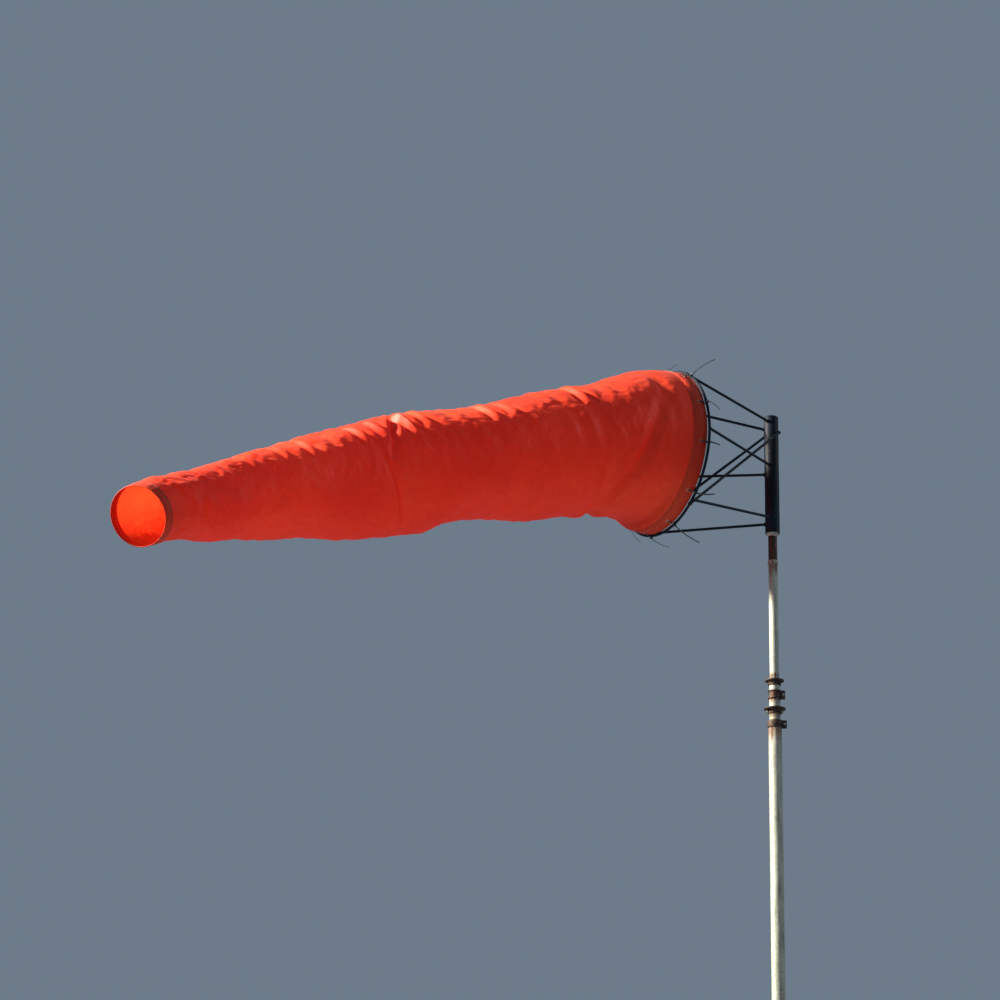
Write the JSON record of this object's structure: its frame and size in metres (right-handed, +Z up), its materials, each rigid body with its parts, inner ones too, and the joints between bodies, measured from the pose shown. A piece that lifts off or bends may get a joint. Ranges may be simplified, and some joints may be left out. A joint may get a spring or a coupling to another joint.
{
  "type": "windsock with pole",
  "caption": "Tapered cloth windsock tied to a swivelling welded ring frame on a telescoping steel mast with a bolt-down base plate.",
  "frame": {"origin": "middle of the base plate's flat underside, on the mast's axis", "axes": "+Z up the mast; the sock streams along -X at rest and its tail swings towards -Y"},
  "size_m": [2.9002, 0.9025, 3.7402],
  "materials": {
    "galvanised_tube": "weathered galvanised steel tube",
    "rusty_fitting": "dark fittings with brown rust",
    "zinc_hardware": "dull zinc-plated bolts and nuts",
    "black_paint": "blue-black gloss enamel on welded steel",
    "grey_bearing": "turned grey nylon",
    "black_tie": "black nylon cable tie",
    "orange_cloth": "orange-red coated ripstop nylon"
  },
  "bodies": {
    "base": {"base_plate": "galvanised_tube", "anchor_stud_1": "zinc_hardware", "anchor_stud_2": "zinc_hardware", "anchor_stud_3": "zinc_hardware", "anchor_stud_4": "zinc_hardware", "mast_base_section": "galvanised_tube", "socket_bolt": "zinc_hardware", "base_collar": "rusty_fitting", "base_collar_bolt": "zinc_hardware"},
    "middle": {"mast_middle_section": "galvanised_tube", "upper_guy_ring": "rusty_fitting", "band_clamp": "rusty_fitting", "band_clamp_bolt": "zinc_hardware", "lower_guy_ring": "rusty_fitting", "guy_ring_bolt_right": "zinc_hardware", "guy_ring_bolt_left": "zinc_hardware"},
    "top": {"mast_top_section": "galvanised_tube", "spindle": "rusty_fitting", "spindle_pin": "zinc_hardware", "top_ferrule": "galvanised_tube", "spindle_washer": "zinc_hardware", "spindle_nut": "zinc_hardware"},
    "head": {"swivel_sleeve": "black_paint", "sleeve_cap": "black_paint", "lower_bearing": "grey_bearing", "upper_bearing": "grey_bearing", "mouth_ring": "black_paint", "upper_near_rod": "black_paint", "upper_far_rod": "black_paint", "middle_near_rod": "black_paint", "middle_far_rod": "black_paint", "lower_near_rod": "black_paint", "lower_far_rod": "black_paint", "near_brace": "black_paint", "far_brace": "black_paint", "mouth_tie_01": "black_tie", "mouth_tie_02": "black_tie", "mouth_tie_03": "black_tie", "mouth_tie_04": "black_tie", "mouth_tie_05": "black_tie", "mouth_tie_06": "black_tie", "mouth_tie_07": "black_tie", "mouth_tie_08": "black_tie", "mouth_tie_09": "black_tie", "mouth_tie_10": "black_tie", "mouth_tie_11": "black_tie", "mouth_tie_12": "black_tie", "mouth_hem": "orange_cloth"},
    "sock_front": {"sock_throat": "orange_cloth", "sock_front_panel": "orange_cloth", "sock_waist": "orange_cloth"},
    "sock_rear": {"sock_rear_panel": "orange_cloth", "tail_hem": "orange_cloth"}
  },
  "joints": [
    {"name": "middle_slide", "type": "slide", "parent": "base", "child": "middle", "axis": [0, 0, 1], "range_m": [-0.024, 1.84]},
    {"name": "top_slide", "type": "slide", "parent": "middle", "child": "top", "axis": [0, 0, 1], "range_m": [-0.44, 1.54]},
    {"name": "head_swivel", "type": "hinge", "parent": "top", "child": "head", "pos_m": [0, 0, 3.1679], "axis": [0, 0, 1], "continuous": true},
    {"name": "sock_lift", "type": "hinge", "parent": "head", "child": "sock_front", "pos_m": [-0.8115, -0.0035, 3.345], "axis": [-0.0269, 0.9996, 0], "range_deg": [-50, 16], "deforming": ["sock_throat"]},
    {"name": "tail_lift", "type": "hinge", "parent": "sock_front", "child": "sock_rear", "pos_m": [-1.9229, -0.1521, 2.9411], "axis": [-0.2645, 0.9644, 0], "range_deg": [-14, 10], "deforming": ["sock_waist"]}
  ]
}
